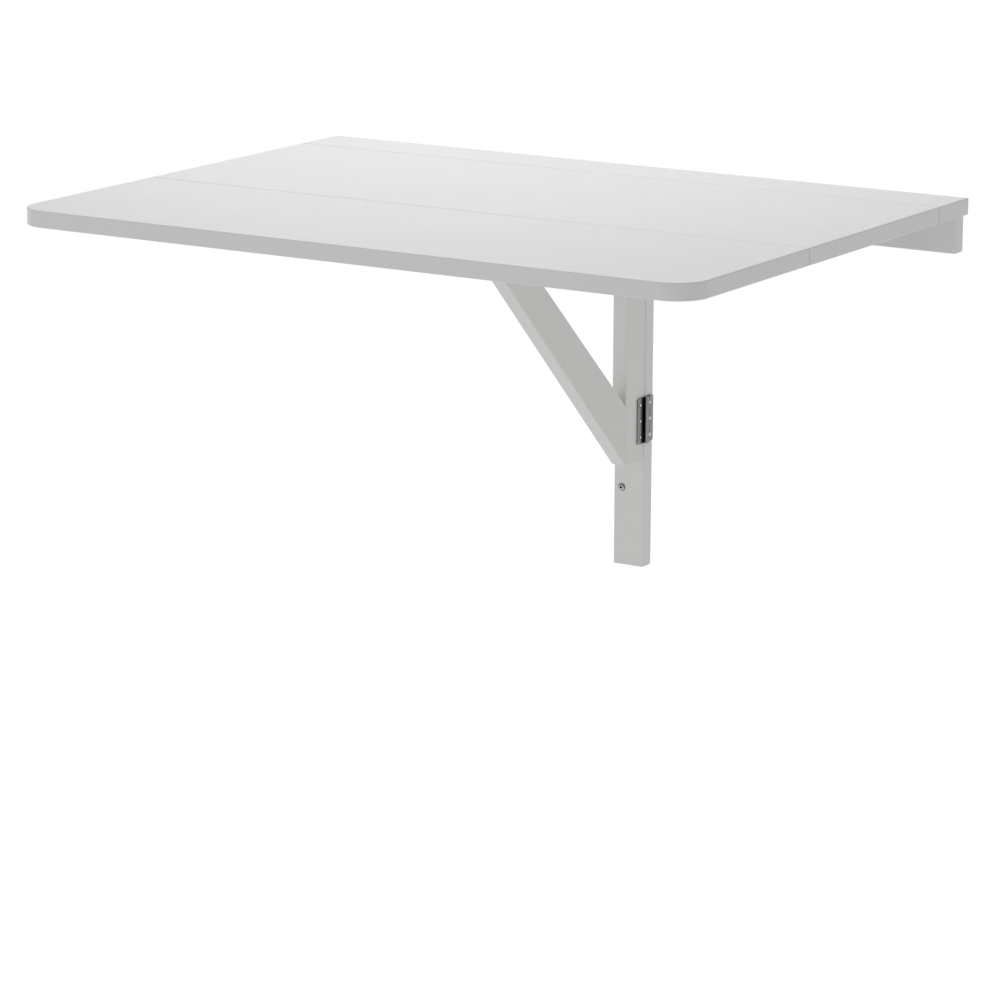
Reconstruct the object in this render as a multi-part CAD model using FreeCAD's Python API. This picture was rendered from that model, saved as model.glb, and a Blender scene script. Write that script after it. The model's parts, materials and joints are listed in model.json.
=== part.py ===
"""A wall mounted drop leaf table: a shelf strip on a wall rail, a middle leaf and a front leaf on
butt hinges, and a triangular bracket that swings out from a wall post to carry the leaves.

Sizes are in millimetres. X runs along the wall, Y into the wall and Z up. The origin is the
centre of the wall rail's back face, so the wall is the plane Y = 0 and the room is on -Y.
The table is drawn fully open, with the bracket square to the wall.
"""
import FreeCAD, Part
import os
from FreeCAD import Placement, Rotation, Vector

# Boards
TABLE_WIDE = 800.0
BOARD = 18.0            # thickness of the shelf strip and both leaves
SHELF_DEEP = 70.0       # wall to the middle of the back seam
MIDDLE_DEEP = 290.0     # back seam to front seam
FRONT_DEEP = 240.0      # front seam to the front edge
SEAM = 1.0              # gap between two hinged boards
CORNER_R = 35.0         # the front leaf's two outer corners
EDGE_R = 1.2            # softened edges of the lacquered boards
STICK_EDGE = 0.8        # softened edges of the rail, post and bracket

# Wall rail and wall post, from sticks of one thickness
WALL_STICK = 18.0
RAIL_TALL = 40.0
RAIL_INSET = 5.0        # the shelf strip's ends stand this far past the rail's
RAIL_HOLES = 4
RAIL_HOLE_STEP = 200.0
RAIL_HOLE_R = 2.5
RAIL_SINK_R = 5.0       # mouth of each countersink
POST_WIDE = 38.0
POST_TALL = 392.0
POST_X = 2.5            # centre of the post
POST_SCREW_INSET = 89.0
POST_SCREW_R = 2.25
POST_SCREW_HEAD_R = 4.2
POST_SCREW_CROWN_R = 2.8
POST_SCREW_HEAD_TALL = 2.2
POST_SCREW_CLEAR = 0.06

# Tongue of the rail, housed in a groove under the shelf strip
TONGUE_THICK = 6.0
TONGUE_TALL = 6.0
JOINT_GAP = 0.1         # round a tongue or a tenon, for the glue

# Swing bracket, cut from sticks of one thickness
BRACKET_THICK = 18.0
STILE_DEEP = 40.0
STILE_TALL = 292.0
ARM_TALL = 40.0
ARM_SETBACK = 15.0      # the arm ends this far behind the front seam
BRACE_FOOT = 67.0       # height of the brace's foot on the stile
BRACE_HEAD = 60.0       # length of the brace's head under the arm
BRACE_SETBACK = 24.0    # and the brace's head this far behind the arm's end
TENON_THICK = 6.0
TENON_LONG = 14.0
TENON_SHOULDER = 8.0    # least wood left beside a tenon
ARM_GAP = 0.3           # the arm sweeps this far below the bars

# Support bars, their guides and the bearing bar, all under the middle leaf
BAR_TALL = 15.0
BAR_WIDE = 30.0
BAR_LONG = 260.0
BAR_HINGE_GAP = 5.0     # between a bar and the outer hinge beside it
BAR_PLAY = 0.3
BAR_SETBACK = 0.5       # front end of each bar, behind the middle leaf's edge
GUIDE_WIDE = 9.0
GUIDE_LONG = 200.0
GUIDE_SETBACK = 40.0    # front end of each guide, behind the front seam
LIP = 5.0               # width and height of the lip that carries a bar
BEARING_WIDE = 40.0
BEARING_GAP = 5.0       # between each end of the bearing bar and a centre hinge

# Butt hinges: each plate is rolled round the pin, which is riveted in the wall side's knuckles
PLATE = 1.5
PIN_R = 1.5
PIN_CLEAR = 0.05
END_KNUCKLE_SHARE = 0.25  # of a hinge, and the middle knuckle has the rest
KNUCKLE_GAP = 0.25
TURN_GAP = 0.4          # round each knuckle, and at the ends of its notch
POCKET_GAP = 0.15       # round each plate in its pocket
PLATE_CORNER_R = 2.5
LEAF_HINGE_LONG = 60.0
LEAF_HINGE_WIDE = 25.0  # pin to the edge of one plate
LEAF_HINGE_INSET = 65.0  # a table's end to the middle of the outer hinge
LEAF_HINGE_X = 5.0      # middle of the centre hinge
POST_HINGE_LONG = 52.0
POST_HINGE_SHY = 1.5    # a post plate's edge ends this far short of the wall
POST_HINGE_TOP = 22.0   # rail's underside to the upper hinge
POST_HINGE_FOOT = 18.9  # stile's foot to the lower hinge

# Heights and depths that follow
UNDER = RAIL_TALL / 2                     # underside of the boards, on top of the rail
TOP = UNDER + BOARD
RAIL_UNDER = -RAIL_TALL / 2
KNUCKLE_R = PIN_R + PLATE
BACK_SEAM_Y = -SHELF_DEEP
FRONT_SEAM_Y = BACK_SEAM_Y - MIDDLE_DEEP
FRONT_Y = FRONT_SEAM_Y - FRONT_DEEP
LEAF_PIN_Z = UNDER - (KNUCKLE_R - PLATE)  # plates lie flush with the underside
BAR_UNDER = UNDER - BAR_TALL
ARM_TOP = BAR_UNDER - ARM_GAP
ARM_UNDER = ARM_TOP - ARM_TALL
BRACKET_X1 = POST_X + POST_WIDE / 2       # the bracket's right face is flush with the post's
BRACKET_X0 = BRACKET_X1 - BRACKET_THICK
BRACKET_X = (BRACKET_X0 + BRACKET_X1) / 2
STILE_BACK = -WALL_STICK - SEAM
STILE_FRONT = STILE_BACK - STILE_DEEP
STILE_BOTTOM = ARM_TOP - STILE_TALL
ARM_FRONT = FRONT_SEAM_Y + ARM_SETBACK
BRACE_FRONT = ARM_FRONT + BRACE_SETBACK
POST_SCREW_X = (POST_X - POST_WIDE / 2 + BRACKET_X0) / 2  # beside the bracket, within a driver's reach
POST_PIN_X = BRACKET_X1 + KNUCKLE_R       # plates lie on the faces, so the knuckle stands proud
POST_PIN_Y = -WALL_STICK - SEAM / 2
POST_HINGE_WIDE = WALL_STICK + SEAM / 2 - POST_HINGE_SHY
OUTER_HINGE_X = TABLE_WIDE / 2 - LEAF_HINGE_INSET
BAR_X = OUTER_HINGE_X - LEAF_HINGE_LONG / 2 - BAR_HINGE_GAP - BAR_WIDE / 2

SLANT_LEAST = TENON_SHOULDER * 2          # longer than this both ways, an edge is one of the slanted ones

SIDES = {"left": -OUTER_HINGE_X, "centre": LEAF_HINGE_X, "right": OUTER_HINGE_X}
LEVELS = {"upper": RAIL_UNDER - POST_HINGE_TOP - POST_HINGE_LONG / 2,
          "lower": STILE_BOTTOM + POST_HINGE_FOOT + POST_HINGE_LONG / 2}


def box(x0, x1, y0, y1, z0, z1):
    return Part.makeBox(x1 - x0, y1 - y0, z1 - z0, Vector(x0, y0, z0))


def softened(solid):
    """A stick with every edge chamfered a little."""
    return solid.makeChamfer(STICK_EDGE, solid.Edges)


def rounded_rims(solid):
    """A board with the rims of its top and underside rounded."""
    rims = [edge for edge in solid.Edges if edge.BoundBox.ZLength < BOARD / 2]
    return solid.makeFillet(EDGE_R, rims)


def prism_x(points, x0, x1):
    """An outline of (y, z) points, as thick as x0 to x1."""
    corners = [Vector(x0, y, z) for y, z in points]
    face = Part.Face(Part.makePolygon(corners + corners[:1]))
    return face.extrude(Vector(x1 - x0, 0, 0))


# Hinges are drawn with the pin along local X, a plate towards local +Y and its board towards +Z.

def along_pin(radius, start, end):
    return Part.makeCylinder(radius, end - start, Vector(start, 0, 0), Vector(1, 0, 0))


def knuckle_spans(length, at_ends):
    """The stretches of the pin that one plate's knuckles take: both ends, or the middle."""
    end, joint = length / 2, length * (0.5 - END_KNUCKLE_SHARE)
    ranges = [(-end, -joint), (joint, end)] if at_ends else [(-joint, joint)]
    return [(start + KNUCKLE_GAP / 2, finish - KNUCKLE_GAP / 2) for start, finish in ranges]


def hinge_flat(length, width):
    """The flat of one plate, with its two outer corners rounded."""
    flat = box(-length / 2, length / 2, KNUCKLE_R + TURN_GAP, width, KNUCKLE_R - PLATE, KNUCKLE_R)
    corners = [edge for edge in flat.Edges
               if edge.BoundBox.ZLength > PLATE / 2 and edge.BoundBox.YMin > width / 2]
    return flat.makeFillet(PLATE_CORNER_R, corners)


def with_knuckles(flat, length, at_ends):
    """A flat with the straps to its own knuckles, and the knuckles, all still solid."""
    rolled = []
    for start, end in knuckle_spans(length, at_ends):
        rolled.append(box(start, end, 0, KNUCKLE_R + TURN_GAP, KNUCKLE_R - PLATE, KNUCKLE_R))
        rolled.append(along_pin(KNUCKLE_R, start, end))
    return flat.fuse(rolled)


def wall_side_plate(length, width):
    """The plate with the outer knuckles and the pin."""
    plate = with_knuckles(hinge_flat(length, width), length, True)
    return plate.fuse(along_pin(PIN_R, -length / 2 + KNUCKLE_GAP, length / 2 - KNUCKLE_GAP)).removeSplitter()


def room_side_plate(length, width):
    """The plate that turns on the pin."""
    plate = with_knuckles(hinge_flat(length, width), length, False)
    return plate.removeSplitter().cut(along_pin(PIN_R + PIN_CLEAR, -length / 2, length / 2))


def hinge_room(length, width):
    """What is cut from a board for a plate let in flush: the pocket and the knuckles' notch."""
    half = length / 2 + POCKET_GAP
    pocket = box(-half, half, 0, width + POCKET_GAP, 0, KNUCKLE_R)
    return [pocket, along_pin(KNUCKLE_R + TURN_GAP, -half, half)]


def leaf_hinge_place(x, seam_y, towards_wall):
    turn = 0 if towards_wall else 180
    return Placement(Vector(x, seam_y, LEAF_PIN_Z), Rotation(Vector(0, 0, 1), turn))


def post_hinge_place(z, towards_wall):
    """The pin stands upright, and the plates lie on the right-hand faces."""
    upright = Rotation(Vector(0, 0, 1), Vector(0, 1, 0), Vector(-1, 0, 0), "ZXY")
    flip = Rotation(Vector(0, 0, 1), 0 if towards_wall else 180)
    return Placement(Vector(POST_PIN_X, POST_PIN_Y, z), upright.multiply(flip))


def placed(shape, place):
    copy = shape.copy()
    copy.Placement = place.multiply(copy.Placement)
    return copy


def hinge_rooms(seam_y, towards_wall):
    """Pockets and notches that three hinges need in one board."""
    return [placed(shape, leaf_hinge_place(x, seam_y, towards_wall))
            for x in SIDES.values()
            for shape in hinge_room(LEAF_HINGE_LONG, LEAF_HINGE_WIDE)]


# Boards

def board(y0, y1):
    return box(-TABLE_WIDE / 2, TABLE_WIDE / 2, y0, y1, UNDER, TOP)


def back_shelf():
    solid = rounded_rims(board(BACK_SEAM_Y + SEAM / 2, 0))
    return solid.cut(hinge_rooms(BACK_SEAM_Y, True) + [rail_tongue(JOINT_GAP)])


def middle_leaf():
    solid = rounded_rims(board(FRONT_SEAM_Y + SEAM / 2, BACK_SEAM_Y - SEAM / 2))
    return solid.cut(hinge_rooms(BACK_SEAM_Y, False) + hinge_rooms(FRONT_SEAM_Y, True))


def front_leaf():
    """The front leaf's two outer corners are rounded in plan."""
    solid = board(FRONT_Y, FRONT_SEAM_Y - SEAM / 2)
    corners = [edge for edge in solid.Edges
               if edge.BoundBox.ZLength > BOARD / 2 and edge.BoundBox.YMax < FRONT_Y + FRONT_DEEP / 2]
    solid = rounded_rims(solid.makeFillet(CORNER_R, corners))
    return solid.cut(hinge_rooms(FRONT_SEAM_Y, False))


# Wall rail and post

def rail_hole_places():
    return [(number - (RAIL_HOLES - 1) / 2) * RAIL_HOLE_STEP for number in range(RAIL_HOLES)]


def rail_tongue(gap=0.0):
    """The tongue on the rail's top, or with a gap the groove that houses it."""
    half = TABLE_WIDE / 2 - RAIL_INSET - WALL_STICK + gap
    middle = -WALL_STICK / 2
    reach = TONGUE_THICK / 2 + gap
    return box(-half, half, middle - reach, middle + reach, UNDER - TONGUE_TALL, UNDER + TONGUE_TALL + gap)


def wall_rail():
    half = TABLE_WIDE / 2 - RAIL_INSET
    solid = softened(box(-half, half, -WALL_STICK, 0, RAIL_UNDER, UNDER))
    solid = solid.fuse(rail_tongue()).removeSplitter()
    inward = Vector(0, 1, 0)
    cutters = []
    for x in rail_hole_places():
        front = Vector(x, -WALL_STICK, 0)
        cutters.append(Part.makeCylinder(RAIL_HOLE_R, WALL_STICK, front, inward))
        cutters.append(Part.makeCone(RAIL_SINK_R, RAIL_HOLE_R, RAIL_SINK_R - RAIL_HOLE_R, front, inward))
    return solid.cut(cutters)


def post_screw_levels():
    return [RAIL_UNDER - POST_SCREW_INSET, RAIL_UNDER - POST_TALL + POST_SCREW_INSET]


def post_shank(z, clear=0.0):
    return Part.makeCylinder(POST_SCREW_R + clear, WALL_STICK, Vector(POST_SCREW_X, -WALL_STICK, z),
                             Vector(0, 1, 0))


def wall_post():
    left = POST_X - POST_WIDE / 2
    bottom = RAIL_UNDER - POST_TALL
    solid = softened(box(left, BRACKET_X1, -WALL_STICK, 0, bottom, RAIL_UNDER))
    return solid.cut([post_shank(z, POST_SCREW_CLEAR) for z in post_screw_levels()])


def post_screws():
    """Round headed screws, drawn as far as the wall."""
    screws = []
    for z in post_screw_levels():
        seat = Vector(POST_SCREW_X, -WALL_STICK, z)
        head = Part.makeCone(POST_SCREW_HEAD_R, POST_SCREW_CROWN_R, POST_SCREW_HEAD_TALL, seat,
                             Vector(0, -1, 0))
        screws.append(head.fuse(post_shank(z)).removeSplitter())
    return Part.makeCompound(screws)


# Swing bracket

def brace_corners():
    """Foot bottom, foot top, head back and head front, as (y, z)."""
    return [(STILE_FRONT, STILE_BOTTOM), (STILE_FRONT, STILE_BOTTOM + BRACE_FOOT),
            (BRACE_FRONT + BRACE_HEAD, ARM_UNDER), (BRACE_FRONT, ARM_UNDER)]


def tenon(low, high, gap):
    """A tenon across the bracket's thickness between two (y, z) corners."""
    reach = TENON_THICK / 2 + gap
    return box(BRACKET_X - reach, BRACKET_X + reach, low[0] - gap, high[0] + gap,
               low[1] - gap, high[1] + gap)


def arm_tenon(gap=0.0):
    return tenon((STILE_FRONT, ARM_UNDER + TENON_SHOULDER),
                 (STILE_FRONT + TENON_LONG, ARM_TOP - TENON_SHOULDER), gap)


def foot_tenon(gap=0.0):
    (_, foot_low), (_, foot_high), _, _ = brace_corners()
    return tenon((STILE_FRONT, foot_low + TENON_SHOULDER),
                 (STILE_FRONT + TENON_LONG, foot_high - TENON_SHOULDER), gap)


def head_tenon(gap=0.0):
    _, _, (head_back, _), (head_front, _) = brace_corners()
    return tenon((head_front + TENON_SHOULDER, ARM_UNDER),
                 (head_back - TENON_SHOULDER, ARM_UNDER + TENON_LONG), gap)


def bracket_stile():
    solid = softened(box(BRACKET_X0, BRACKET_X1, STILE_FRONT, STILE_BACK, STILE_BOTTOM, ARM_TOP))
    return solid.cut([arm_tenon(JOINT_GAP), foot_tenon(JOINT_GAP)])


def bracket_arm():
    solid = softened(box(BRACKET_X0, BRACKET_X1, ARM_FRONT, STILE_FRONT, ARM_UNDER, ARM_TOP))
    return solid.fuse(arm_tenon()).removeSplitter().cut(head_tenon(JOINT_GAP))


def bracket_brace():
    solid = prism_x(brace_corners(), BRACKET_X0, BRACKET_X1)
    slanted = [edge for edge in solid.Edges
               if edge.BoundBox.YLength > SLANT_LEAST and edge.BoundBox.ZLength > SLANT_LEAST]
    return solid.makeChamfer(STICK_EDGE, slanted).fuse([foot_tenon(), head_tenon()]).removeSplitter()


# Bars under the middle leaf

def support_bar(side):
    """A pull-out bar with a rebate along each lower edge, which rides on the guides' lips.

    The side is -1 for the left bar and 1 for the right one.
    """
    centre = side * BAR_X
    x0 = centre - BAR_WIDE / 2
    x1 = centre + BAR_WIDE / 2
    front = FRONT_SEAM_Y + SEAM / 2 + BAR_SETBACK
    solid = softened(box(x0, x1, front, front + BAR_LONG, BAR_UNDER, UNDER - BAR_PLAY))
    rebates = [box(a, a + LIP, front - 1, front + BAR_LONG + 1, BAR_UNDER, BAR_UNDER + LIP)
               for a in (x0, x1 - LIP)]
    return solid.cut(rebates)


def bar_guides(side):
    """Two rebated battens that hold one support bar from both sides."""
    front = FRONT_SEAM_Y + GUIDE_SETBACK
    lip_rise = LIP - BAR_PLAY
    guides = []
    for hand in (-1, 1):
        face = side * BAR_X + hand * (BAR_WIDE / 2 + BAR_PLAY)
        tip = face - hand * LIP
        back = face + hand * GUIDE_WIDE
        wall = box(min(face, back), max(face, back), front, front + GUIDE_LONG, BAR_UNDER, UNDER)
        lip = box(min(tip, face), max(tip, face), front, front + GUIDE_LONG,
                  BAR_UNDER, BAR_UNDER + lip_rise)
        guides.append(wall.fuse(lip).removeSplitter())
    return Part.makeCompound(guides)


def bearing_bar():
    """The bar that rests on the bracket's arm."""
    setback = LEAF_HINGE_WIDE + BEARING_GAP
    return softened(box(BRACKET_X - BEARING_WIDE / 2, BRACKET_X + BEARING_WIDE / 2,
                        FRONT_SEAM_Y + setback, BACK_SEAM_Y - setback, BAR_UNDER, UNDER))


def hinge_nodes():
    """Every plate, by node name."""
    wall_plate = wall_side_plate(LEAF_HINGE_LONG, LEAF_HINGE_WIDE)
    room_plate = room_side_plate(LEAF_HINGE_LONG, LEAF_HINGE_WIDE)
    nodes = {}
    for name, x in SIDES.items():
        for wall_node, room_node, seam_y in (
                ("back_hinge_shelf_plate_", "back_hinge_leaf_plate_", BACK_SEAM_Y),
                ("front_hinge_middle_plate_", "front_hinge_leaf_plate_", FRONT_SEAM_Y)):
            nodes[wall_node + name] = placed(wall_plate, leaf_hinge_place(x, seam_y, True))
            nodes[room_node + name] = placed(room_plate, leaf_hinge_place(x, seam_y, False))
    post_plate = wall_side_plate(POST_HINGE_LONG, POST_HINGE_WIDE)
    stile_plate = room_side_plate(POST_HINGE_LONG, POST_HINGE_WIDE)
    for name, z in LEVELS.items():
        nodes["post_hinge_plate_" + name] = placed(post_plate, post_hinge_place(z, True))
        nodes["bracket_hinge_plate_" + name] = placed(stile_plate, post_hinge_place(z, False))
    return nodes


def all_nodes():
    nodes = {
        "wall_rail": wall_rail(),
        "wall_post": wall_post(),
        "post_screws": post_screws(),
        "back_shelf": back_shelf(),
        "middle_leaf": middle_leaf(),
        "front_leaf": front_leaf(),
        "bracket_stile": bracket_stile(),
        "bracket_arm": bracket_arm(),
        "bracket_brace": bracket_brace(),
        "support_bar_left": support_bar(-1),
        "support_bar_right": support_bar(1),
        "bar_guides_left": bar_guides(-1),
        "bar_guides_right": bar_guides(1),
        "bearing_bar": bearing_bar(),
    }
    nodes.update(hinge_nodes())
    return nodes


os.makedirs("parts", exist_ok=True)
for node_name, node_shape in all_nodes().items():
    node_shape.exportStep("parts/" + node_name + ".step")
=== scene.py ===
"""Looks of a wall mounted drop leaf table in white lacquer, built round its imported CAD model.

Metres, X along the wall, Y into the wall, Z up, with the origin at the middle of the wall rail's back.
The CAD nodes keep their shapes and get their finishes here. Countersunk screws are added to the hinges
and domed ends to their pins, and two screws with a cross recess replace the post's plain ones.
"""
import json
import math

import bpy
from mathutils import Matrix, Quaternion, Vector

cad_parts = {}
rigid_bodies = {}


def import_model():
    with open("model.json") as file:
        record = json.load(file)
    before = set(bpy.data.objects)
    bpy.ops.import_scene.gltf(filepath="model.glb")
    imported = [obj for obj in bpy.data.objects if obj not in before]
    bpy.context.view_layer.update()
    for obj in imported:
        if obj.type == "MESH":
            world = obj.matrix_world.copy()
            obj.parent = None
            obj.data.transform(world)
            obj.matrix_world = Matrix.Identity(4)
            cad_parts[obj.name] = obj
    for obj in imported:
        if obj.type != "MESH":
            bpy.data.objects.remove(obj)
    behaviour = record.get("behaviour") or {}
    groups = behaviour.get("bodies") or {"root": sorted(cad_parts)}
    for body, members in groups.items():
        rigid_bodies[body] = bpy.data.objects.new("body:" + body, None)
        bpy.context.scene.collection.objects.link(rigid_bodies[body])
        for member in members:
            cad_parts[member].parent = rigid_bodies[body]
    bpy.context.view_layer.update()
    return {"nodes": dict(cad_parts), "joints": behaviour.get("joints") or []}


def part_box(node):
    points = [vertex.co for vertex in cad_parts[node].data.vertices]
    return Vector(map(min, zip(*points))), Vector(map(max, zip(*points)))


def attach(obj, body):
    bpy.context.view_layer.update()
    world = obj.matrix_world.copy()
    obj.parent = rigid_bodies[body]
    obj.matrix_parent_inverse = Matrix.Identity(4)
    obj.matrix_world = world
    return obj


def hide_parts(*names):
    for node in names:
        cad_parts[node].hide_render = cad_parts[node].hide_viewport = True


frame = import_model()

# ---------------------------------------------------------------- camera, lights and floor

CAMERA_PLACE = (2.3093, -4.0431, 0.7714)
CAMERA_TURN = (76.549, -0.266, 31.657)      # degrees about X, Y and Z
CAMERA_LENS = 153.61                        # mm
CAMERA_SENSOR = 36                          # mm
CAMERA_CLIP = (0.1, 200)
FLOOR_LEVEL = -0.70                         # the top stands 0.74 m above it
FLOOR_SIDE = 60
FLOOR_WHITE = 0.95
FLOOR_ROUGHNESS = 0.9
FLOOR_GLOSS = 0.1
FLOOR_GLOW = 0.56                           # keeps the pale floor white right round the table
FLOOR_LIGHT_GAP = 0.01
SKY_STRENGTH = 0.447
SOFT_LIGHTS = (                             # name, place, aim, side in metres and power in watts
    ("top_light", (-0.35, 0.10, 1.20), (0, -0.3, 0.03), 0.6, 7.2),
    ("far_light", (-4.9, 8.0, 1.8), (0, -0.1, 0), 3.8, 36.9),
    ("room_light", (-2.5, -5.2, 0.1), (0, -0.3, -0.2), 3.0, 34.0),
    ("floor_light", (0, 0, FLOOR_LEVEL + FLOOR_LIGHT_GAP), (0, 0, 0), 12, 51.3))

# ---------------------------------------------------------------- the table's nodes and finishes

LONG_IN_X = ("wall_rail", "back_shelf", "middle_leaf", "front_leaf")
LONG_IN_Y = ("bracket_arm", "bracket_brace", "support_bar_left", "support_bar_right",
             "bar_guides_left", "bar_guides_right", "bearing_bar")
LONG_IN_Z = ("wall_post", "bracket_stile")
LACQUERS = (                                # nodes, name, fibre's scale, white, and blue against white
    (LONG_IN_X, "white_lacquer_boards", (0.05, 1, 1), 0.80, 1.0),
    (LONG_IN_Y, "white_lacquer_bars", (1, 0.05, 1), 0.80, 0.975),
    # painted light: the uprights' white of 0.83 against 0.80 elsewhere is a lighter copy of the same
    # lacquer, lifting them out of the shade below the top
    (LONG_IN_Z, "white_lacquer_uprights", (1, 1, 0.05), 0.83, 0.975))
LACQUER_CLOUD = 0.014                       # the lacquer's lightest patches over its darkest
HINGE_STEEL = ((0.204, 0.204, 0.200), (0.275, 0.275, 0.268))   # each steel's darkest and lightest
SCREW_STEEL = ((0.78, 0.78, 0.77), (0.88, 0.88, 0.87))
# painted shade: the very dark colour of the screws' cross recesses, for the shade inside them
RECESS_PAINTED_SHADE = ((0.010, 0.010, 0.010), (0.020, 0.020, 0.020))
# painted shade: the dark colour of the post screws' rims, for the shadow round their heads
RIM_PAINTED_SHADE = ((0.150, 0.150, 0.150), (0.200, 0.200, 0.200))
# painted shade: the very dark colour put in the hinges' crooks for their shadow and dark reflection
CROOK_PAINTED_SHADE = (0.010, 0.010, 0.010)
LEAF_HINGE_FIBRE = (0.04, 1, 1)             # drawing marks that are long in X
POST_HINGE_FIBRE = (1, 1, 0.04)             # and in Z
NOISE_LOW, NOISE_HIGH = 0.3, 0.7            # where most values of a noise pattern lie
WHITE = (1, 1, 1, 1)

# ---------------------------------------------------------------- places in the CAD model

X, Y, Z = range(3)


def middle_of(node, axis):
    """The middle of a CAD node's box along one axis."""
    low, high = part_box(node)
    return (low[axis] + high[axis]) / 2


def length_of(node, axis):
    """The length of a CAD node's box along one axis."""
    low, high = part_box(node)
    return high[axis] - low[axis]


JOINTS = {joint["name"]: joint["pos_m"] for joint in frame["joints"]}
LEAF_PIN_Z = JOINTS["front_leaf_fold"][Z]
POST_PIN = JOINTS["bracket_swing"][:2]
SEAMS = {"back": (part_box("back_shelf")[0].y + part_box("middle_leaf")[1].y) / 2,
         "front": JOINTS["front_leaf_fold"][Y]}
LEAF_HINGE_X = {side: middle_of(f"front_hinge_leaf_plate_{side}", X)
                for side in ("left", "centre", "right")}
POST_HINGE_Z = {level: middle_of(f"bracket_hinge_plate_{level}", Z)
                for level in ("upper", "lower")}
LEAF_HINGE_LONG = length_of("front_hinge_leaf_plate_centre", X)
POST_HINGE_LONG = length_of("bracket_hinge_plate_upper", Z)
POST_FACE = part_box("wall_post")[0].y        # the room side of the wall post

PLATE = 0.0015                              # thickness of a hinge plate
KNUCKLE_RADIUS = 0.0030
KNUCKLE_REACH = 0.0034                      # from the pin, a plate's flat begins here
PIN_RADIUS = 0.0015
PIN_SHY = 0.00025                           # a pin ends this far inside its hinge
LEAF_PLATE_FACE = LEAF_PIN_Z + KNUCKLE_RADIUS - PLATE       # level with the underside, faces down
POST_PLATE_FACE = POST_PIN[X] - KNUCKLE_RADIUS + PLATE      # faces +X
LEAF_PIN_HALF = LEAF_HINGE_LONG / 2 - PIN_SHY
POST_PIN_HALF = POST_HINGE_LONG / 2 - PIN_SHY
CROOK_SHADE_NEAR = 0.0068                         # from the pin, the painted shade in the crook is full up to here
CROOK_SHADE_FAR = 0.0125                          # and gone from here
KNUCKLE_SHADE_RISE = 0.0007                         # over the pin, a post hinge's knuckles are free of painted shade from here

# ---------------------------------------------------------------- sizes of the small fasteners

SCREW_STEP = 0.35                           # of a hinge's length, from its middle screw to the next
LEAF_SCREW_OUT = 0.0150                     # from the pin to a row of screws
POST_SCREW_OUT = {"post": 0.0092, "bracket": 0.0110}
HINGE_HEAD_RADIUS = 0.0025
HINGE_HEAD_CROWN = 0.0003
HINGE_HEAD_RIM = 0.0006
HINGE_HEAD_PROUD = 0.00005                  # out of the plate
HINGE_CROSS = (0.0005, 0.0013, 0.0006)      # width, reach from the middle, and depth
POST_HEAD_CROWN = 0.62                      # of the head's height
POST_HEAD_RIM = 0.36                        # of the head's height
POST_CROSS_WIDTH = 0.0022
POST_CROSS_REACH = 0.60                     # of the head's radius
POST_CROSS_DEPTH = 0.8                      # of the head's height
CROSS_TAPER = 0.55                          # of a recess cutter's size at its top, left at its bottom
HEAD_ROUNDING = (                           # insets, of the radius, and lifts, of the crown
    (0.10, 0.30), (0.22, 0.36), (0.24, 0.22), (0.20, 0.12))
RIM_SHARE = 0.78                            # of a head's radius, where its rim begins
RIM_SLOPE = 0.2                             # a face that looks up less than this is rim too
PIN_END_RADIUS = 0.98 * PIN_RADIUS
PIN_END_THICK = 0.0004                      # half of it stands out of the pin
PIN_END_ROUNDING = (                        # insets, of the pin's radius, and lifts
    (0.16, 0.0001), (0.26, 0.00008), (0.30, 0.00003))
HINGE_HEAD_SIDES, POST_HEAD_SIDES, PIN_END_SIDES = 28, 40, 20
HEAD_SMOOTH, CUT_SMOOTH, PIN_END_SMOOTH = 32, 28, 50   # degrees, edges that turn by less look smooth
RECESS_SLOT, RIM_SLOT = 1, 2                # a head's finishes are its own, its recess's and its rim's
HINGE_SCREW_TURNS = (17, 70, 123)           # degrees that a plate's three crosses are turned by
NEXT_HINGE_TURN = 31                        # and this much more at each next hinge
POST_SCREW_TURNS = (8, 48)                  # the lower and the upper screw
FACING = 0.9                                # cosine above which a face looks along a direction
UP, DOWN = Vector((0, 0, 1)), Vector((0, 0, -1))
RIGHT, TO_ROOM = Vector((1, 0, 0)), Vector((0, -1, 0))


# ---------------------------------------------------------------- modelling by hand

def deselect_all():
    """Nothing selected, nothing active."""
    for thing in bpy.context.view_layer.objects:
        thing.select_set(False)
    bpy.context.view_layer.objects.active = None


def pick(thing):
    """The piece alone selected and active."""
    deselect_all()
    thing.select_set(True)
    bpy.context.view_layer.objects.active = thing


def start_editing(thing):
    """The piece alone, in edit mode, with nothing of it selected."""
    pick(thing)
    bpy.ops.object.mode_set(mode="EDIT")
    bpy.ops.mesh.select_mode(type="FACE")
    bpy.ops.mesh.select_all(action="DESELECT")


def select_facing(thing, direction):
    """Selects the faces that look along the direction."""
    bpy.ops.mesh.select_all(action="DESELECT")
    bpy.ops.object.mode_set(mode="OBJECT")
    for face in thing.data.polygons:
        face.select = face.normal.dot(direction) > FACING
    bpy.ops.object.mode_set(mode="EDIT")


def round_over(steps):
    """Insets and lifts the selected face again and again, by each step's two lengths."""
    for inset, lift in steps:
        bpy.ops.mesh.inset(thickness=inset)
        bpy.ops.transform.translate(value=(0, 0, lift))


def finish_editing(thing, smooth):
    """Back to object mode, with outward faces and edges smooth up to that many degrees."""
    bpy.ops.mesh.select_all(action="SELECT")
    bpy.ops.mesh.normals_make_consistent(inside=False)
    bpy.ops.mesh.select_all(action="DESELECT")
    bpy.ops.object.mode_set(mode="OBJECT")
    bpy.ops.object.shade_smooth_by_angle(angle=math.radians(smooth))


def apply_place():
    """Carries place, turn and scale of what is selected into its mesh."""
    bpy.ops.object.transform_apply(location=True, rotation=True, scale=True)


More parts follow.
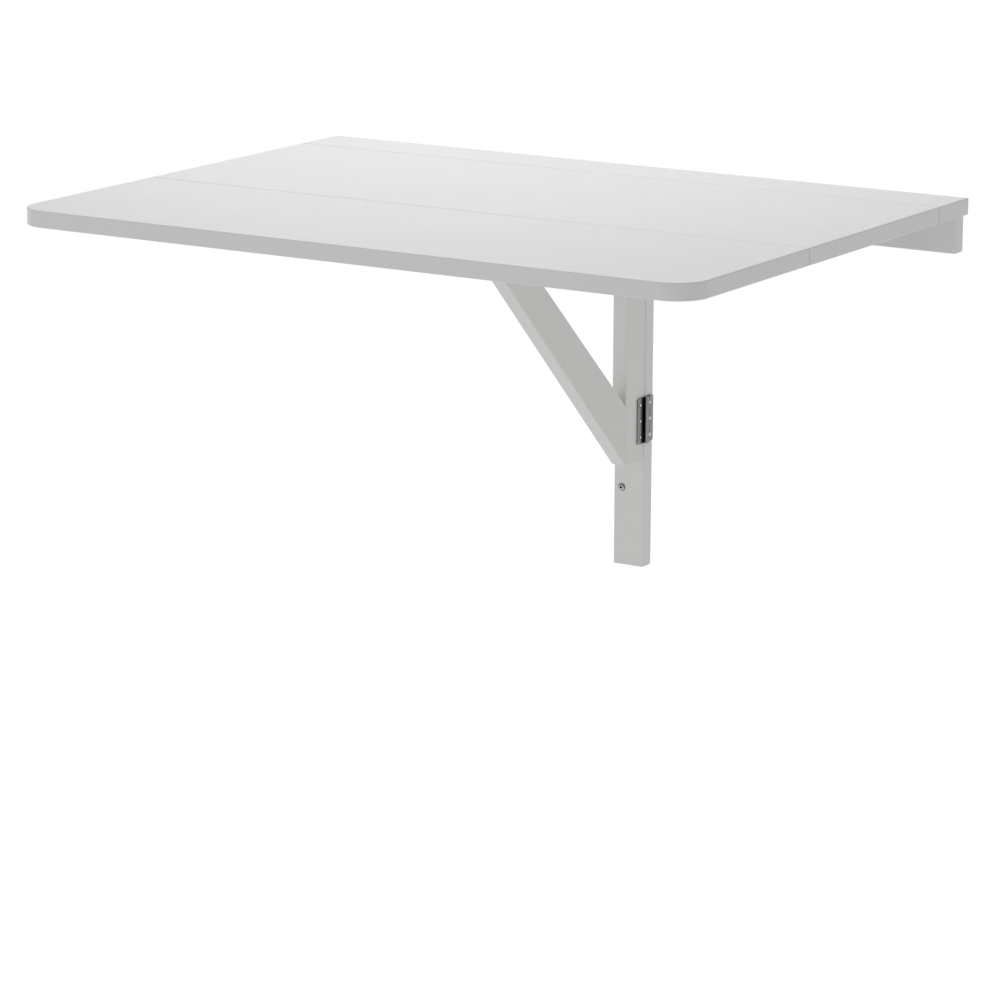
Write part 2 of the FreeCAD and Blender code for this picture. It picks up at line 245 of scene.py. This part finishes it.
def apply_modifiers(thing):
    """Applies each of the piece's modifiers in turn."""
    pick(thing)
    for modifier in list(thing.modifiers):
        bpy.ops.object.modifier_apply(modifier=modifier.name)


def start_disc(name, sides, radius, thickness, level):
    """A plain disc about the Z axis, with its middle at that level."""
    deselect_all()
    bpy.ops.mesh.primitive_cylinder_add(vertices=sides, radius=radius, depth=thickness,
                                        end_fill_type="NGON", location=(0, 0, level))
    disc = bpy.context.object
    disc.name = name
    apply_place()
    return disc


def lay_copies(name, model, places, normal, turns):
    """Copies the model to each place, facing along normal and turned about it by the place's degrees.

    The copies are joined as one piece.
    """
    facing = normal.to_track_quat("Z", "Y")
    copies = []
    for place, turn in zip(places, turns):
        copy = model.copy()
        copy.data = model.data.copy()
        bpy.context.scene.collection.objects.link(copy)
        copy.rotation_mode = "QUATERNION"
        copy.rotation_quaternion = facing @ Quaternion(UP, math.radians(turn))
        copy.location = place
        copies.append(copy)
    deselect_all()
    for copy in copies:
        copy.select_set(True)
    bpy.context.view_layer.objects.active = copies[0]
    apply_place()
    bpy.ops.object.join()
    piece = bpy.context.object
    piece.name = name
    piece.data.name = name
    return piece


# ---------------------------------------------------------------- the studio

def set_up_camera():
    """The camera at the table's right, a little above its top."""
    lens = bpy.data.cameras.new("table_camera")
    lens.sensor_width = CAMERA_SENSOR
    lens.lens = CAMERA_LENS
    lens.clip_start, lens.clip_end = CAMERA_CLIP
    camera = bpy.data.objects.new("table_camera", lens)
    bpy.context.scene.collection.objects.link(camera)
    camera.location = CAMERA_PLACE
    camera.rotation_euler = [math.radians(turn) for turn in CAMERA_TURN]
    bpy.context.scene.camera = camera


def add_soft_light(name, place, aim, side, power):
    """A square studio light at place that points at aim."""
    lamp = bpy.data.lights.new(name, "AREA")
    lamp.shape = "SQUARE"
    lamp.size = side
    lamp.energy = power
    light = bpy.data.objects.new(name, lamp)
    bpy.context.scene.collection.objects.link(light)
    light.location = place
    light.visible_camera = False
    light.rotation_euler = (Vector(aim) - Vector(place)).to_track_quat("-Z", "Y").to_euler()


def set_up_sky():
    """An even white sky, and colours shown as they are."""
    world = bpy.data.worlds.new("studio")
    world.use_nodes = True
    world.node_tree.nodes["Background"].inputs["Color"].default_value = WHITE
    world.node_tree.nodes["Background"].inputs["Strength"].default_value = SKY_STRENGTH
    bpy.context.scene.world = world
    bpy.context.scene.view_settings.view_transform = "Standard"


def let_through_from_below(tree, shader):
    """Makes the studio floor clear from its underside, so that the table can be looked at from below."""
    side = tree.nodes.new("ShaderNodeNewGeometry")
    clear = tree.nodes.new("ShaderNodeBsdfTransparent")
    choice = tree.nodes.new("ShaderNodeMixShader")
    tree.links.new(side.outputs["Backfacing"], choice.inputs["Fac"])
    tree.links.new(shader.outputs["BSDF"], choice.inputs[1])
    tree.links.new(clear.outputs["BSDF"], choice.inputs[2])
    tree.links.new(choice.outputs["Shader"], tree.nodes["Material Output"].inputs["Surface"])


def make_floor_paint():
    """Pale matt paint that glows a little."""
    paint = bpy.data.materials.new("studio_floor")
    paint.use_nodes = True
    shader = paint.node_tree.nodes["Principled BSDF"]
    shader.inputs["Base Color"].default_value = (FLOOR_WHITE, FLOOR_WHITE, FLOOR_WHITE, 1)
    shader.inputs["Roughness"].default_value = FLOOR_ROUGHNESS
    shader.inputs["Emission Color"].default_value = WHITE
    shader.inputs["Emission Strength"].default_value = FLOOR_GLOW
    shader.inputs["Specular IOR Level"].default_value = FLOOR_GLOSS
    let_through_from_below(paint.node_tree, shader)
    return paint


def lay_floor():
    """A wide floor. The light that it would send up comes from floor_light, which can be set by itself."""
    deselect_all()
    bpy.ops.mesh.primitive_plane_add(size=FLOOR_SIDE, location=(0, 0, FLOOR_LEVEL))
    floor = bpy.context.object
    floor.name = "studio_floor"
    floor.visible_diffuse = False
    floor.data.materials.append(make_floor_paint())


# ---------------------------------------------------------------- parts of a finish

def new_finish(name):
    """A material with its node tree, its shader, and its object coordinates."""
    finish = bpy.data.materials.new(name)
    finish.use_nodes = True
    tree = finish.node_tree
    place = tree.nodes.new("ShaderNodeTexCoord").outputs["Object"]
    return finish, tree, tree.nodes["Principled BSDF"], place


def stretched(tree, place, scale):
    """Object coordinates scaled by a different amount along each axis."""
    mapping = tree.nodes.new("ShaderNodeMapping")
    mapping.inputs["Scale"].default_value = scale
    tree.links.new(place, mapping.inputs["Vector"])
    return mapping.outputs["Vector"]


def noise(tree, place, scale, detail=3.0, roughness=0.5):
    """A noise pattern's value, about 0.5 on average."""
    node = tree.nodes.new("ShaderNodeTexNoise")
    node.inputs["Scale"].default_value = scale
    node.inputs["Detail"].default_value = detail
    node.inputs["Roughness"].default_value = roughness
    tree.links.new(place, node.inputs["Vector"])
    return node.outputs["Fac"]


def spread(tree, value, low, high):
    """A noise pattern's value carried to low..high."""
    node = tree.nodes.new("ShaderNodeMapRange")
    node.inputs["From Min"].default_value = NOISE_LOW
    node.inputs["From Max"].default_value = NOISE_HIGH
    node.inputs["To Min"].default_value = low
    node.inputs["To Max"].default_value = high
    tree.links.new(value, node.inputs["Value"])
    return node.outputs["Result"]


def tinted(tree, value, dark, light):
    """A colour between dark and light, by a noise pattern's value."""
    node = tree.nodes.new("ShaderNodeValToRGB")
    first, last = node.color_ramp.elements
    first.position, last.position = NOISE_LOW, NOISE_HIGH
    first.color = (*dark, 1)
    last.color = (*light, 1)
    tree.links.new(value, node.inputs["Fac"])
    return node.outputs["Color"]


def bumped(tree, height, distance, strength, below=None):
    """A surface bump from height, on top of the bump below."""
    node = tree.nodes.new("ShaderNodeBump")
    node.inputs["Distance"].default_value = distance
    node.inputs["Strength"].default_value = strength
    tree.links.new(height, node.inputs["Height"])
    if below is not None:
        tree.links.new(below, node.inputs["Normal"])
    return node.outputs["Normal"]


def one_axis(tree, place, axis):
    """One of the coordinates, X, Y or Z."""
    node = tree.nodes.new("ShaderNodeSeparateXYZ")
    tree.links.new(place, node.inputs["Vector"])
    return node.outputs[axis]


def reckoned(tree, operation, first, second=0.0):
    """A sum worked out by a maths node from a value and a number or a second value."""
    node = tree.nodes.new("ShaderNodeMath")
    node.operation = operation
    tree.links.new(first, node.inputs[0])
    if isinstance(second, float):
        node.inputs[1].default_value = second
    else:
        tree.links.new(second, node.inputs[1])
    return node.outputs["Value"]


def ramped(tree, value, start, end):
    """A smooth step from 1 at start to 0 at end."""
    node = tree.nodes.new("ShaderNodeMapRange")
    node.interpolation_type = "SMOOTHSTEP"
    node.inputs["From Min"].default_value = start
    node.inputs["From Max"].default_value = end
    node.inputs["To Min"].default_value = 1.0
    node.inputs["To Max"].default_value = 0.0
    tree.links.new(value, node.inputs["Value"])
    return node.outputs["Result"]


def blended(tree, share, plain, other):
    """A colour that goes from plain to a fixed other colour by share."""
    node = tree.nodes.new("ShaderNodeMix")
    node.data_type = "RGBA"
    tree.links.new(share, node.inputs["Factor"])
    tree.links.new(plain, node.inputs["A"])
    node.inputs["B"].default_value = (*other, 1)
    return node.outputs["Result"]


# ---------------------------------------------------------------- finishes

def make_lacquer(name, fibre, white, blue):
    """Satin lacquer, of that white and that blue against it, with the faintest fibre along one axis."""
    finish, tree, shader, place = new_finish(name)
    light = white + LACQUER_CLOUD
    cloud = noise(tree, place, scale=9, detail=4, roughness=0.55)
    shade = tinted(tree, cloud, (white, white, white * blue), (light, light, light * blue))
    tree.links.new(shade, shader.inputs["Base Color"])
    mist = noise(tree, place, scale=140)
    tree.links.new(spread(tree, mist, low=0.34, high=0.44), shader.inputs["Roughness"])
    grain = noise(tree, stretched(tree, place, fibre), scale=60, detail=4, roughness=0.6)
    orange_peel = noise(tree, place, scale=420, detail=2)
    under = bumped(tree, grain, distance=0.00006, strength=0.10)
    skin = bumped(tree, orange_peel, distance=0.00005, strength=0.15, below=under)
    tree.links.new(skin, shader.inputs["Normal"])
    shader.inputs["Specular IOR Level"].default_value = 0.42
    shader.inputs["Coat Weight"].default_value = 0.12
    shader.inputs["Coat Roughness"].default_value = 0.28
    return finish


def make_hinge_steel_with_painted_shade(name, fibre, pins, barrel=None):
    """Zinc plated steel, drawn along one axis, with painted shade in the crook on both sides of its
    knuckles.

    pins is the middle of the pins and their distance from it, along Y. barrel is the axis out of the
    plates, with the heights on it where the painted shade on the knuckles begins to fade and ends.
    Without it the knuckles stay bright, free of the painted shade.
    """
    finish, tree, shader, place = new_finish(name)
    marks = noise(tree, stretched(tree, place, fibre), scale=900, detail=4, roughness=0.6)
    bright = tinted(tree, marks, *HINGE_STEEL)
    middle, apart = pins
    from_middle = reckoned(tree, "SUBTRACT", one_axis(tree, place, "Y"), middle)
    past_pin = reckoned(tree, "SUBTRACT", reckoned(tree, "ABSOLUTE", from_middle), apart)
    from_pin = reckoned(tree, "ABSOLUTE", past_pin)
    near = ramped(tree, from_pin, CROOK_SHADE_NEAR, CROOK_SHADE_FAR)
    if barrel:
        axis, low, high = barrel
        deep = ramped(tree, one_axis(tree, place, axis), low, high)
    else:
        deep = ramped(tree, from_pin, KNUCKLE_REACH, KNUCKLE_RADIUS)
    # Painted shade: very dark in the crook beside each pin, standing in for its shadow and dark
    # reflection.
    crook_shade_share = reckoned(tree, "MULTIPLY", near, deep)
    tree.links.new(blended(tree, crook_shade_share, bright, CROOK_PAINTED_SHADE), shader.inputs["Base Color"])
    patches = noise(tree, place, scale=160)
    tree.links.new(spread(tree, patches, low=0.34, high=0.46), shader.inputs["Roughness"])
    tree.links.new(bumped(tree, marks, distance=0.00004, strength=0.35), shader.inputs["Normal"])
    shader.inputs["Metallic"].default_value = 1.0
    return finish


def make_screw_steel(name, dark, light):
    """Plated steel with turning marks, between a dark and a light colour."""
    finish, tree, shader, place = new_finish(name)
    marks = noise(tree, place, scale=1400, roughness=0.6)
    tree.links.new(tinted(tree, marks, dark, light), shader.inputs["Base Color"])
    patches = noise(tree, place, scale=500, detail=2)
    tree.links.new(spread(tree, patches, low=0.22, high=0.38), shader.inputs["Roughness"])
    tree.links.new(bumped(tree, marks, distance=0.00002, strength=0.3), shader.inputs["Normal"])
    shader.inputs["Metallic"].default_value = 1.0
    return finish


def dress(node, finish):
    """Gives a CAD node its finish in every slot, without touching its shape."""
    thing = frame["nodes"][node]
    for material_slot in thing.material_slots:
        material_slot.link = "OBJECT"
        material_slot.material = finish
    if not thing.material_slots:
        thing.data.materials.append(finish)


def dress_woodwork():
    """White lacquer on the boards, the bars and the uprights, each with its fibre along its length."""
    for nodes, name, fibre, white, blue in LACQUERS:
        lacquer = make_lacquer(name, fibre, white, blue)
        for node in nodes:
            dress(node, lacquer)


def dress_hinges():
    """Zinc plated steel on the hinges of the leaves and of the post, with painted shade in their crooks.
    """
    middle = (SEAMS["back"] + SEAMS["front"]) / 2
    apart = (SEAMS["back"] - SEAMS["front"]) / 2
    leaf_steel_and_shade = make_hinge_steel_with_painted_shade("leaf_hinge_steel", LEAF_HINGE_FIBRE, (middle, apart))
    post_steel_and_shade = make_hinge_steel_with_painted_shade("post_hinge_steel", POST_HINGE_FIBRE, (POST_PIN[Y], 0.0),
                                  ("X", POST_PIN[X], POST_PIN[X] + KNUCKLE_SHADE_RISE))
    for node in frame["nodes"]:
        if "hinge" in node:
            dress(node, post_steel_and_shade if node.startswith(("post", "bracket")) else leaf_steel_and_shade)


# ---------------------------------------------------------------- small fasteners

def cut_cross(head, width, reach, depth, inside):
    """Cuts a tapered cross recess into a screw head, down to depth under z = 0, with its own finish."""
    for size in ((2 * reach, width, 2 * depth), (width, 2 * reach, 2 * depth)):
        deselect_all()
        bpy.ops.mesh.primitive_cube_add(size=1, location=(0, 0, 0))
        cutter = bpy.context.object
        bpy.ops.transform.resize(value=size)
        apply_place()
        cutter.data.materials.append(inside)
        start_editing(cutter)
        select_facing(cutter, DOWN)
        bpy.ops.transform.resize(value=(CROSS_TAPER, CROSS_TAPER, 1), center_override=(0, 0, -depth))
        bpy.ops.mesh.select_all(action="DESELECT")
        bpy.ops.object.mode_set(mode="OBJECT")
        cut = head.modifiers.new("cross", "BOOLEAN")
        cut.operation = "DIFFERENCE"
        cut.solver = "EXACT"
        cut.object = cutter
        cut.material_mode = "TRANSFER"
        apply_modifiers(head)
        bpy.data.objects.remove(cutter, do_unlink=True)


def model_screw_head(name, sides, radius, crown, rim, cross, finishes):
    """A screw head that faces +Z: a crowned disc with a rounded edge and a cross recess.

    The rim's top is at z = 0. cross is the recess's width, reach and depth. finishes are the head's,
    the recess's and the rim's.
    """
    head = start_disc(name, sides, radius, rim, -rim / 2)
    start_editing(head)
    select_facing(head, UP)
    round_over([(radius * inset, crown * lift) for inset, lift in HEAD_ROUNDING])
    finish_editing(head, HEAD_SMOOTH)
    for finish in finishes:
        head.data.materials.append(finish)
    # The rim's faces take the third finish, which on the post screws is painted shade round the head.
    for face in head.data.polygons:
        outer = math.hypot(face.center.x, face.center.y) > radius * RIM_SHARE
        if outer or face.normal.z < RIM_SLOPE:
            face.material_index = RIM_SLOT
    cut_cross(head, *cross, finishes[RECESS_SLOT])
    start_editing(head)
    finish_editing(head, CUT_SMOOTH)
    return head


def add_hinge_screws(bright, recess):
    """Three cross-recess screws in each hinge plate, flush but for their crowns."""
    model = model_screw_head("hinge_screw", HINGE_HEAD_SIDES, HINGE_HEAD_RADIUS, HINGE_HEAD_CROWN,
                             HINGE_HEAD_RIM, HINGE_CROSS, (bright, recess, bright))

    def add(name, body, places, normal, hinge):
        turns = [turn + NEXT_HINGE_TURN * hinge for turn in HINGE_SCREW_TURNS]
        piece = lay_copies(name, model, places, normal, turns)
        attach(piece, body)

    along_leaf = [step * SCREW_STEP * LEAF_HINGE_LONG for step in (-1, 0, 1)]
    below = LEAF_PLATE_FACE - HINGE_HEAD_PROUD
    for hinge, (side, x) in enumerate(LEAF_HINGE_X.items()):
        for seam, y in SEAMS.items():
            for plate, outward in (("wall", 1), ("room", -1)):
                body = "front_leaf" if (seam, plate) == ("front", "room") else "wall_frame"
                places = [(x + step, y + outward * LEAF_SCREW_OUT, below) for step in along_leaf]
                add(f"{seam}_hinge_{side}_{plate}_side_screws", body, places, DOWN, hinge)
    along_post = [step * SCREW_STEP * POST_HINGE_LONG for step in (-1, 0, 1)]
    beside = POST_PLATE_FACE + HINGE_HEAD_PROUD
    for hinge, (level, z) in enumerate(POST_HINGE_Z.items(), len(LEAF_HINGE_X)):
        for plate, outward in (("post", 1), ("bracket", -1)):
            body = "bracket" if plate == "bracket" else "wall_frame"
            y = POST_PIN[Y] + outward * POST_SCREW_OUT[plate]
            places = [(beside, y, z + step) for step in along_post]
            add(f"post_hinge_{level}_{plate}_side_screws", body, places, RIGHT, hinge)
    bpy.data.objects.remove(model, do_unlink=True)


def add_pin_ends(finish):
    """Domed ends on the hinge pins."""
    model = start_disc("pin_end", PIN_END_SIDES, PIN_END_RADIUS, PIN_END_THICK, 0)
    start_editing(model)
    select_facing(model, UP)
    round_over([(PIN_RADIUS * inset, lift) for inset, lift in PIN_END_ROUNDING])
    finish_editing(model, PIN_END_SMOOTH)
    model.data.materials.append(finish)
    ends = []
    for side, end in (("left", -1), ("right", 1)):
        places = [(x + end * LEAF_PIN_HALF, y, LEAF_PIN_Z)
                  for x in LEAF_HINGE_X.values() for y in SEAMS.values()]
        ends.append((f"leaf_hinge_pin_{side}_ends", places, Vector((end, 0, 0))))
    for side, end in (("lower", -1), ("upper", 1)):
        places = [(*POST_PIN, z + end * POST_PIN_HALF) for z in POST_HINGE_Z.values()]
        ends.append((f"post_hinge_pin_{side}_ends", places, Vector((0, 0, end))))
    for name, places, outward in ends:
        piece = lay_copies(name, model, places, outward, [0] * len(places))
        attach(piece, "wall_frame")
    bpy.data.objects.remove(model, do_unlink=True)


def add_post_screws(bright, recess, rim):
    """Two large pan-head screws that hold the post to the wall, in place of the plain ones. Their rims and
    cross recesses are dark painted shade.
    """
    low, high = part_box("post_screws")
    x = (low.x + high.x) / 2
    radius = (high.x - low.x) / 2
    tall = POST_FACE - low.y
    cross = (POST_CROSS_WIDTH, radius * POST_CROSS_REACH, tall * POST_CROSS_DEPTH)
    model = model_screw_head("post_screw", POST_HEAD_SIDES, radius, tall * POST_HEAD_CROWN,
                             tall * POST_HEAD_RIM, cross, (bright, recess, rim))
    pick(model)
    bpy.ops.transform.translate(value=(0, 0, tall * POST_HEAD_RIM))
    apply_place()
    places = [(x, POST_FACE, z) for z in (low.z + radius, high.z - radius)]
    piece = lay_copies("post_screw_heads", model, places, TO_ROOM, POST_SCREW_TURNS)
    bpy.data.objects.remove(model, do_unlink=True)
    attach(piece, "wall_frame")
    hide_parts("post_screws")


# ---------------------------------------------------------------- the scene

set_up_camera()
set_up_sky()
for light_facts in SOFT_LIGHTS:
    add_soft_light(*light_facts)
lay_floor()

dress_woodwork()
dress_hinges()
screw_steel = make_screw_steel("bright_screw_steel", *SCREW_STEEL)
# The recess finish and the rim finish are painted shade: very dark steel for the shade inside the cross
# recesses and round the post screws' heads.
recess_painted_shade = make_screw_steel("screw_recess_steel", *RECESS_PAINTED_SHADE)
rim_painted_shade = make_screw_steel("screw_rim_steel", *RIM_PAINTED_SHADE)
add_hinge_screws(screw_steel, recess_painted_shade)
add_pin_ends(screw_steel)
add_post_screws(screw_steel, recess_painted_shade, rim_painted_shade)
